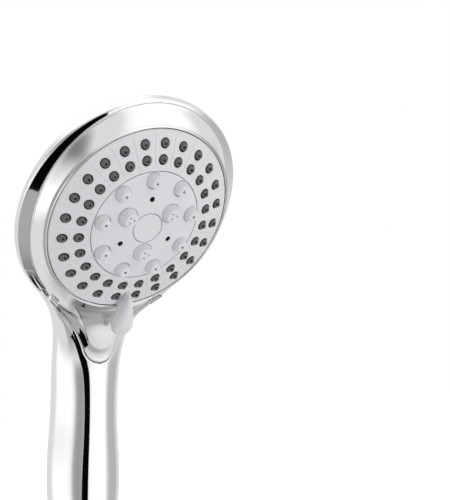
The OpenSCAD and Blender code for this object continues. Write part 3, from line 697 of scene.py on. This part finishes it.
def disc_cell():
    small = [3.64, 3.68, 3.76, 3.84]
    large = [4.52, 4.56, 4.64, 4.74, 4.86]
    plain = [1.2, 1.24, 1.3, 1.38, 1.48]
    def at(ring, degrees):
        return ring * math.cos(math.radians(degrees)), ring * math.sin(math.radians(degrees))
    holes = [(*at(22.2, a), small) for a in (-40, 0, 40)] + [(*at(12.2, -20), large), (*at(13.8, 40), plain)]
    radii = np.concatenate([[7.2, 7.27, 7.36, 7.5], np.arange(7.9, 25.6, 0.5), [25.75, 25.9, 26.0, 26.06]])
    flat, tris = cell_sheet(CAP_OPENING_R, DISC_EDGE_R, 60, holes, radii, 91)
    r = np.hypot(*flat.T)
    z = face_level(r) - rounded(DISC_EDGE_R - r, 0.35) - rounded(r - CAP_OPENING_R, 0.3)
    for x, y, loops in holes:
        away = np.hypot(flat[:, 0] - x, flat[:, 1] - y)
        z = z - rounded(away - loops[0], 0.2)
    return np.column_stack([flat, z]), tris


def patterned(name, cell, count, start, material, wall=0.0):
    points, faces = cell
    obj = piece(name, np.asarray(points) * MM, faces)
    run_group(obj, POLAR, Count=count, Start=math.radians(start), Material=material)
    to_head(obj)
    if wall:
        thicken(obj, wall)
    return obj


def nozzle_cell():
    parts = []
    for ring in (OUTER_RING, INNER_RING):
        profile = [
            (1.86, -2.7), (1.84, -1.2), (1.8, -0.35), (1.72, -0.05), (1.46, 0.68), (1.3, 1.1), (1.22, 1.24),
            (1.1, 1.3), (0.98, 1.25), (0.84, 1.02), (0.7, 0.96), (0.6, 0.85), (0.56, 0.5), (0.56, -2.7), (1.86, -2.7),
        ]
        parts.append(lathe(profile, 40, (ring, 0.0), float(face_level(ring))))
    a = np.radians(np.linspace(-NOZZLE_CELL / 2, NOZZLE_CELL / 2, 5))
    r = np.array([41, 38, 34.5, 31, 28])
    r = np.concatenate([r, r[::-1], r[:1]])[:, None]
    deep = np.array([2.5] * 5 + [3.7] * 5 + [2.5])[:, None]
    ring = np.stack([r * np.cos(a), r * np.sin(a), face_level(r) - deep + 0 * a], -1)
    parts.append((ring.reshape(-1, 3), grid_faces(len(r), len(a))))
    return join(parts)


def small_jet_cell():
    profile = [
        (3.62, -1.5), (3.6, -0.1), (3.5, 0.25), (3.3, 0.8), (3.0, 1.6), (2.74, 2.3), (2.58, 2.68), (2.42, 2.98),
        (2.22, 3.2), (1.98, 3.34), (1.7, 3.4), (1.3, 3.42), (0.9, 3.42), (0.74, 3.38), (0.64, 3.28), (0.6, 3.1),
        (0.6, -1.5), (3.62, -1.5),
    ]
    return lathe(profile, 64, (22.2, 0.0), float(face_level(22.2)))


def large_jet_cell():
    """A cone with three holes in its top."""
    wall = [
        (4.42, -1.5), (4.4, 0.0), (4.3, 0.22), (4.12, 0.6), (3.16, 2.95), (3.1, 3.1), (3.0, 3.22), (2.88, 3.3),
        (2.7, 3.33),
    ]
    steps = 72
    points, faces = lathe(wall, steps)
    start = len(points) - steps
    verts = [(float(p[0]), float(p[1])) for p in points[start:]]
    edges = [(i, (i + 1) % steps) for i in range(steps)]
    around = [math.radians(90 + 120 * k) for k in range(3)]
    holes = [(1.4 * math.cos(a), 1.4 * math.sin(a)) for a in around]
    for x, y in holes:
        for r in (0.5, 0.56, 0.64):
            first = len(verts)
            turn = np.linspace(0, math.tau, 24, endpoint=False)
            verts += [(x + r * math.cos(t), y + r * math.sin(t)) for t in turn]
            edges += [(first + i, first + (i + 1) % 24) for i in range(24)]
    flat, _, tris, _, _, _ = delaunay_2d_cdt([Vector(p) for p in verts], edges, [], 0, 1e-5)
    flat = np.array([tuple(p) for p in flat])
    z = np.full(len(flat), 3.33)
    walls = []
    for x, y in holes:
        z = z - rounded(np.hypot(flat[:, 0] - x, flat[:, 1] - y) - 0.5, 0.14)
        walls.append(lathe([(0.5, 3.19), (0.5, 0.6)], 24, (x, y)))
    keep = []
    for tri in tris:
        p = flat[list(tri)]
        area = (p[1, 0] - p[0, 0]) * (p[2, 1] - p[0, 1]) - (p[2, 0] - p[0, 0]) * (p[1, 1] - p[0, 1])
        if all(math.hypot(*(p.mean(0) - h)) > 0.5 * 0.99 for h in holes) and abs(area) > 1e-8:
            keep.append(tuple(tri) if area > 0 else tuple(tri[::-1]))
    walls = [(p, [f[::-1] for f in faces]) for p, faces in walls]
    lid = (np.column_stack([flat, z]), keep)
    foot = lathe([(4.42, -1.5), (0.001, -1.5)], steps)
    floors = [(lathe([(0.5, 0.6), (0.001, 0.6)], 24, h)) for h in holes]
    foot = (foot[0], [f[::-1] for f in foot[1]])
    points, faces = join([(points, faces), lid, foot] + [(p, [f[::-1] for f in w]) for p, w in walls] + floors)
    return points + np.array([12.2, 0, float(face_level(12.2))]), faces


def cap_shape():
    edge = float(face_level(6.95))
    profile = [(6.95, edge - 2.4), (6.95, edge - 0.3), (6.9, edge - 0.14), (6.8, edge - 0.04), (6.64, edge + 0.02)]
    profile += [(r, float(face_level(r)) + 0.03) for r in np.linspace(6.2, 0.4, 14)]
    profile += [(0.0, float(face_level(0)) + 0.03)]
    return join([lathe(profile, 96), lathe([(0.0, edge - 2.4), (6.95, edge - 2.4)], 96)])


LEVER = [
    (-34.6, 0.25, 0.5), (-35.2, 0.6, 2.0), (-36, 0.9, 3.3), (-37, 1.2, 4.5), (-38, 1.5, 5.05), (-39.5, 1.95, 5.4),
    (-41, 2.3, 5.65), (-44, 3.1, 5.9), (-47, 3.8, 5.95), (-50, 4.4, 5.8), (-52, 4.55, 5.35), (-53.5, 4.4, 4.75),
    (-55, 3.9, 3.9), (-56.2, 2.9, 2.7), (-56.9, 1.7, 1.4), (-57.2, 0.5, 0.3),
]


def lever_shape():
    v = np.concatenate([np.linspace(-34.6, -38, 16), np.linspace(-38, -52, 36)[1:], np.linspace(-52, -57.2, 26)[1:]])
    rows = np.array(LEVER)[::-1]
    half, front = curve(v, rows[:, :2]), curve(v, rows[:, [0, 2]])
    back = np.where(v > -43.7, face_level(np.abs(v)) - 0.6, -1.9)
    back = np.minimum(back, front - 0.3)
    a = np.linspace(0, math.tau, 40, endpoint=False)
    sharp = 0.72
    across = np.sign(np.cos(a)) * np.abs(np.cos(a)) ** sharp
    up = np.sign(np.sin(a)) * np.abs(np.sin(a)) ** sharp
    deep = (front - back)[:, None]
    middle = back[:, None] + 0.35 * deep
    tall = np.where(np.sin(a)[None, :] > 0, 0.65 * deep, 0.35 * deep)
    n = middle + up[None, :] * tall
    points = np.stack([half[:, None] * across, v[:, None] + 0 * n, n], -1)
    grid = points.reshape(-1, 3)
    count = len(v)
    faces = grid_faces(count, len(a), closed=True)
    faces += [tuple(range(len(a)))[::-1], tuple((count - 1) * len(a) + i for i in range(len(a)))]
    hook = []
    depths = np.linspace(-1.6, -2.3, 8)
    for depth in depths:
        size = 1.7 - 0.4 * soft_step((-1.8 - depth) / 0.5)
        hook.append([
            (size * np.sign(math.cos(t)) * abs(math.cos(t)) ** 0.6,
             -52.4 + 2.6 * np.sign(math.sin(t)) * abs(math.sin(t)) ** 0.6, depth) for t in a
        ])
    hook = np.array(hook)
    hook_faces = grid_faces(len(depths), len(a), closed=True, flip=True)
    hook_faces += [tuple(range(len(a))), tuple((len(depths) - 1) * len(a) + i for i in range(len(a)))[::-1]]
    return join([(grid, faces), (hook.reshape(-1, 3), hook_faces)])


def nipple_shape():
    """The threaded inlet: crest cylinder ready for the thread, flange above, counterbore inside."""
    top = 10.1
    outside = [(9.0, 0.0), (9.6, 0.0), (10.478, 0.75)]
    outside += [(10.478, z) for z in np.linspace(0.8, top, 94)]
    outside += [(9.32, top + 0.05), (9.32, 10.5), (10.5, 10.6), (10.8, 10.9), (10.8, 11.8), (10.6, 12.0), (7.8, 12.0)]
    inside = [(7.8, 4.0), (6.4, 4.0), (6.4, 0.6), (6.9, 0.0), (9.0, 0.0)]
    return outside, inside


# ---------------------------------------------------------------- materials
def level(value):
    """Linear level of a display brightness from 0 to 1."""
    return value / 12.92 if value <= 0.04045 else ((value + 0.055) / 1.055) ** 2.4


def surface_group():
    """Fine wear of a surface: colour factor, roughness and bump from object coordinates."""
    group, given, out = new_group("surface_detail", "ShaderNodeTree", [
        ("Size", "NodeSocketFloat", 60.0), ("Roughness", "NodeSocketFloat", 0.3),
        ("Spread", "NodeSocketFloat", 0.05), ("Scratches", "NodeSocketFloat", 0.02),
        ("Bump", "NodeSocketFloat", 0.02), ("Grain", "NodeSocketFloat", 900.0), ("Tint", "NodeSocketFloat", 0.03),
    ], [("Roughness", "NodeSocketFloat"), ("Factor", "NodeSocketFloat"), ("Normal", "NodeSocketVector")])
    add, link = group.nodes.new, group.links.new
    place = add("ShaderNodeTexCoord").outputs["Object"]

    def noise(scale, detail, stretch=None):
        node = add("ShaderNodeTexNoise")
        node.inputs["Detail"].default_value = detail
        if isinstance(scale, bpy.types.NodeSocket):
            link(scale, node.inputs["Scale"])
        else:
            node.inputs["Scale"].default_value = scale
        if stretch:
            mapping = add("ShaderNodeMapping")
            mapping.inputs["Scale"].default_value = stretch
            mapping.inputs["Rotation"].default_value = (0.4, 0.3, 0.7)
            link(place, mapping.inputs["Vector"])
            link(mapping.outputs[0], node.inputs["Vector"])
        else:
            link(place, node.inputs["Vector"])
        return node.outputs[0]

    cloud = noise(given.outputs["Size"], 5)
    hair = noise(140.0, 3, (1, 14, 1.5))
    hair = maths(group, "POWER", maths(group, "ABSOLUTE", maths(group, "MULTIPLY_ADD", hair, 2.0, -1.0)), 0.35)
    hair = maths(group, "SUBTRACT", 1.0, maths(group, "MINIMUM", hair, 1.0))
    wander = maths(group, "MULTIPLY", maths(group, "SUBTRACT", cloud, 0.5), given.outputs["Spread"])
    rough = maths(group, "ADD", given.outputs["Roughness"], wander)
    rough = maths(group, "ADD", rough, maths(group, "MULTIPLY", hair, given.outputs["Scratches"]))
    link(maths(group, "MAXIMUM", rough, 0.01), out.inputs["Roughness"])
    shade = maths(group, "MULTIPLY", maths(group, "SUBTRACT", cloud, 0.5), given.outputs["Tint"])
    link(maths(group, "ADD", shade, 1.0), out.inputs["Factor"])
    bump = add("ShaderNodeBump")
    bump.inputs["Distance"].default_value = 0.0001
    link(given.outputs["Bump"], bump.inputs["Strength"])
    link(noise(given.outputs["Grain"], 4), bump.inputs["Height"])
    link(bump.outputs[0], out.inputs["Normal"])
    return group


SURFACE = surface_group()


def make_material(name, colour, metallic=0.0, coat=0.0, ior=1.46, **detail):
    material = bpy.data.materials.new(name)
    material.use_nodes = True
    tree = material.node_tree
    shader = tree.nodes["Principled BSDF"]
    shader.inputs["Metallic"].default_value = metallic
    shader.inputs["IOR"].default_value = ior
    shader.inputs["Coat Weight"].default_value = coat
    shader.inputs["Coat Roughness"].default_value = 0.12
    look = tree.nodes.new("ShaderNodeGroup")
    look.node_tree = SURFACE
    for label, value in detail.items():
        look.inputs[label].default_value = value
    tint = tree.nodes.new("ShaderNodeMix")
    tint.data_type = "RGBA"
    tint.blend_type = "MULTIPLY"
    tint.inputs[0].default_value = 1.0
    tint.inputs[6].default_value = (*colour, 1)
    tree.links.new(look.outputs["Factor"], tint.inputs[7])
    tree.links.new(tint.outputs[2], shader.inputs["Base Color"])
    tree.links.new(look.outputs["Roughness"], shader.inputs["Roughness"])
    tree.links.new(look.outputs["Normal"], shader.inputs["Normal"])
    return material


MATERIALS = {
    "chrome": make_material(
        "chrome", (0.955, 0.957, 0.96), 1.0, Roughness=0.035, Spread=0.02, Scratches=0.015, Bump=0.004, Grain=500.0, Tint=0.01),
    "chrome_thread": make_material(
        "chrome_thread", (0.9, 0.905, 0.91), 1.0, Roughness=0.12, Spread=0.1, Scratches=0.12, Bump=0.05, Tint=0.06),
    "steel": make_material(
        "steel", (0.72, 0.72, 0.73), 1.0, Roughness=0.28, Spread=0.1, Scratches=0.2, Bump=0.05, Tint=0.06),
    "seal_rubber": make_material("seal_rubber", (0.02, 0.02, 0.022), Roughness=0.55, Spread=0.2, Bump=0.15, Tint=0.2),
    "white_plastic": make_material("white_plastic", (0.72, 0.72, 0.69), Roughness=0.42, Spread=0.1, Bump=0.06, Tint=0.04),
    "dark_plastic": make_material("dark_plastic", (0.03, 0.032, 0.035), Roughness=0.4, Spread=0.12, Bump=0.08, Tint=0.1),
    "green_plastic": make_material("green_plastic", (0.1, 0.32, 0.12), Roughness=0.4, Spread=0.1, Bump=0.05, Tint=0.06),
    "blue_plastic": make_material("blue_plastic", (0.07, 0.17, 0.35), Roughness=0.4, Spread=0.1, Bump=0.05, Tint=0.06),
    "nozzle_silicone": make_material(
        "nozzle_silicone", (0.13, 0.133, 0.137), Roughness=0.36, Spread=0.12, Scratches=0.05, Bump=0.06, Grain=1500.0, Tint=0.15),
    "face_plastic": make_material(
        "face_plastic", (0.74, 0.75, 0.77), Roughness=0.3, Spread=0.06, Scratches=0.04, Bump=0.02, Grain=1600.0, Tint=0.02),
}

# ---------------------------------------------------------------- the pieces
plate = patterned("face_plate_detail", plate_cell(), NOZZLE_N, RING_START, MATERIALS["face_plastic"], PLATE_WALL)
disc = patterned("centre_disc_detail", disc_cell(), 3, 50, MATERIALS["face_plastic"], DISC_WALL)
nozzles = patterned("nozzle_mat_detail", nozzle_cell(), NOZZLE_N, RING_START, MATERIALS["nozzle_silicone"])
small_jets = patterned("mist_jets_detail", small_jet_cell(), 9, 90, MATERIALS["face_plastic"])
large_jets = patterned("massage_jets_detail", large_jet_cell(), 3, 30, MATERIALS["face_plastic"])
cap_points, cap_faces = cap_shape()
cap = to_head(piece("centre_cap_detail", cap_points * MM, cap_faces, merge=2e-6))
lever_points, lever_faces = lever_shape()
lever = to_head(piece("selector_lever_detail", lever_points * MM, lever_faces))
outside, inside = nipple_shape()
nipple_points, nipple_faces = lathe(outside + inside, 192)
nipple = piece("inlet_nipple_detail", nipple_points * MM, nipple_faces, merge=2e-6)
run_group(
    nipple, THREAD, Pitch=1.814 * MM, Depth=1.16 * MM, Low=0.7 * MM, High=10.12 * MM, Wall=10.4 * MM,
    Material=MATERIALS["chrome_thread"])

DETAILED = [
    (shell, "handset", "handle_shell", "chrome"), (cover, "handset", "front_cover", "chrome"),
    (nipple, "handset", "inlet_nipple", "chrome_thread"), (plate, "spray_face", "face_plate", "face_plastic"),
    (disc, "spray_face", "centre_disc", "face_plastic"), (nozzles, "spray_face", "nozzle_mat", "nozzle_silicone"),
    (small_jets, "spray_face", "mist_jets", "face_plastic"), (large_jets, "spray_face", "massage_jets", "face_plastic"),
    (cap, "spray_face", "centre_cap", "face_plastic"), (lever, "spray_face", "selector_lever", "face_plastic"),
]
for obj, body, node, slot in DETAILED:
    obj.data.materials.clear()
    obj.data.materials.append(MATERIALS[slot])
    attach(obj, body)
    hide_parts(node)

replaced = {node for _, _, node, _ in DETAILED}
slots = {part["node"]: part["material_slot"] for part in frame["record"]["subparts"]}
for node, obj in frame["nodes"].items():
    if node not in replaced:
        obj.data.materials.clear()
        obj.data.materials.append(MATERIALS[slots[node]])


# ---------------------------------------------------------------- the studio
WALL_LEVEL = 0.85
# Panels hung round the object: compass angle of the middle (0 is where the face looks, 90 its left hand) and half
# width in degrees, lowest and highest height of the direction, display brightness
PANELS = [
    ("ceiling", 0, 180, 0.7, 2.0, 1.0), ("soft_box_left", 35, 30, -0.3, 0.8, 1.0),
    ("soft_box_right", -90, 40, -0.4, 0.0, 1.0), ("grey_card_high", -60, 20, 0.2, 0.6, 0.5),
    ("grey_card_front", -25, 10, -0.3, 0.1, 0.6), ("grey_card_side", 80, 20, -0.3, 0.1, 0.7),
    ("table", 30, 90, -2.0, -0.5, 0.65),
]
PANEL_SOFT = 12
HEIGHT_SOFT = 0.12
FLAG_LEAN = 30
FLAG_HALF = 8
FLAG_HEIGHTS = (-0.65, 0.05)
POOL_AT = (0.1, 0.05)
POOL_RINGS = [(0.6, 0.2, 0.5), (0.22, 0.14, 0.03)]


def build_room():
    """A pale room with soft boxes, grey cards, a dark flag in front and a dark pool straight below."""
    world = bpy.data.worlds.new("room")
    bpy.context.scene.world = world
    world.use_nodes = True
    tree = world.node_tree
    tree.nodes.clear()
    add, link = tree.nodes.new, tree.links.new
    way = add("ShaderNodeSeparateXYZ")
    link(add("ShaderNodeTexCoord").outputs["Generated"], way.inputs[0])
    x, y, z = way.outputs

    def product(*masks):
        total = masks[0]
        for mask in masks[1:]:
            total = maths(tree, "MULTIPLY", total, mask)
        return total

    def length(a, b):
        return maths(tree, "SQRT", maths(tree, "ADD", product(a, a), product(b, b)))

    def fade(value, none, full):
        node = add("ShaderNodeMapRange")
        node.interpolation_type = "SMOOTHSTEP"
        link(value, node.inputs["Value"])
        node.inputs["From Min"].default_value = none
        node.inputs["From Max"].default_value = full
        return node.outputs[0]

    def put(colour, mask, brightness):
        node = add("ShaderNodeMix")
        node.data_type = "RGBA"
        link(mask, node.inputs[0])
        if isinstance(colour, bpy.types.NodeSocket):
            link(colour, node.inputs[6])
        else:
            node.inputs[6].default_value = (colour, colour, colour, 1)
        node.inputs[7].default_value = (level(brightness),) * 3 + (1,)
        return node.outputs[2]

    colour = level(WALL_LEVEL)
    ground = length(x, y)
    for _, middle, half, low, high, brightness in PANELS:
        mask = product(fade(z, low - HEIGHT_SOFT, low + HEIGHT_SOFT), fade(z, high + HEIGHT_SOFT, high - HEIGHT_SOFT))
        if half < 180:
            toward = maths(tree, "MULTIPLY_ADD", x, math.sin(math.radians(middle)),
                           maths(tree, "MULTIPLY", y, -math.cos(math.radians(middle))))
            toward = maths(tree, "DIVIDE", toward, ground)
            mask = product(mask, fade(
                toward, math.cos(math.radians(half + PANEL_SOFT)), math.cos(math.radians(half - min(half, PANEL_SOFT)))))
        colour = put(colour, mask, brightness)
    # The flag leans to one side as it goes down
    lean = maths(tree, "ABSOLUTE", maths(tree, "MULTIPLY_ADD", z, -math.tan(math.radians(FLAG_LEAN)), x))
    flag = product(
        fade(lean, math.sin(math.radians(FLAG_HALF + 0.5)), math.sin(math.radians(FLAG_HALF))),
        maths(tree, "LESS_THAN", y, 0.0),
        maths(tree, "GREATER_THAN", z, FLAG_HEIGHTS[0]), maths(tree, "LESS_THAN", z, FLAG_HEIGHTS[1]))
    colour = put(colour, flag, 0.02)
    away = length(maths(tree, "SUBTRACT", x, POOL_AT[0]), maths(tree, "SUBTRACT", y, POOL_AT[1]))
    for outer, inner, dark in POOL_RINGS:
        colour = put(colour, product(fade(z, -0.5, -0.6), fade(away, outer, inner)), dark)
    room = add("ShaderNodeBackground")
    room.inputs["Strength"].default_value = 1.05
    link(colour, room.inputs["Color"])
    paper = add("ShaderNodeBackground")
    paper.inputs["Color"].default_value = (1, 1, 1, 1)
    paper.inputs["Strength"].default_value = 1.0
    seen = add("ShaderNodeMixShader")
    link(add("ShaderNodeLightPath").outputs["Is Camera Ray"], seen.inputs[0])
    link(room.outputs[0], seen.inputs[1])
    link(paper.outputs[0], seen.inputs[2])
    out = add("ShaderNodeOutputWorld")
    link(seen.outputs[0], out.inputs["Surface"])


def build_floor():
    """A pale floor well below, seen only by the camera so that the chrome keeps its clean surroundings."""
    points = [(-3, -3, -0.3), (3, -3, -0.3), (3, 3, -0.3), (-3, 3, -0.3)]
    floor = piece("floor", points, [(0, 1, 2, 3)], smooth=False)
    material = bpy.data.materials.new("floor")
    material.use_nodes = True
    shader = material.node_tree.nodes["Principled BSDF"]
    shader.inputs["Base Color"].default_value = (0.9, 0.9, 0.9, 1)
    shader.inputs["Roughness"].default_value = 0.8
    shader.inputs["Emission Color"].default_value = (1, 1, 1, 1)
    shader.inputs["Emission Strength"].default_value = 0.35
    floor.data.materials.append(material)
    floor.visible_glossy = False
    floor.visible_diffuse = False
    floor.visible_shadow = False
    floor.visible_transmission = False


def add_lamp(name, place, size, power, target=(0, -0.048, 0.185)):
    data = bpy.data.lights.new(name, "AREA")
    data.shape = "RECTANGLE"
    data.size, data.size_y = size
    data.energy = power
    lamp = bpy.data.objects.new(name, data)
    lamp.location = place
    lamp.rotation_euler = (Vector(target) - Vector(place)).to_track_quat("-Z", "Y").to_euler()
    lamp.visible_glossy = False
    bpy.context.collection.objects.link(lamp)


build_room()
build_floor()
add_lamp("key", (0.25, -0.9, -0.55), (0.5, 0.4), 4.5)
bpy.context.scene.view_settings.view_transform = "Standard"
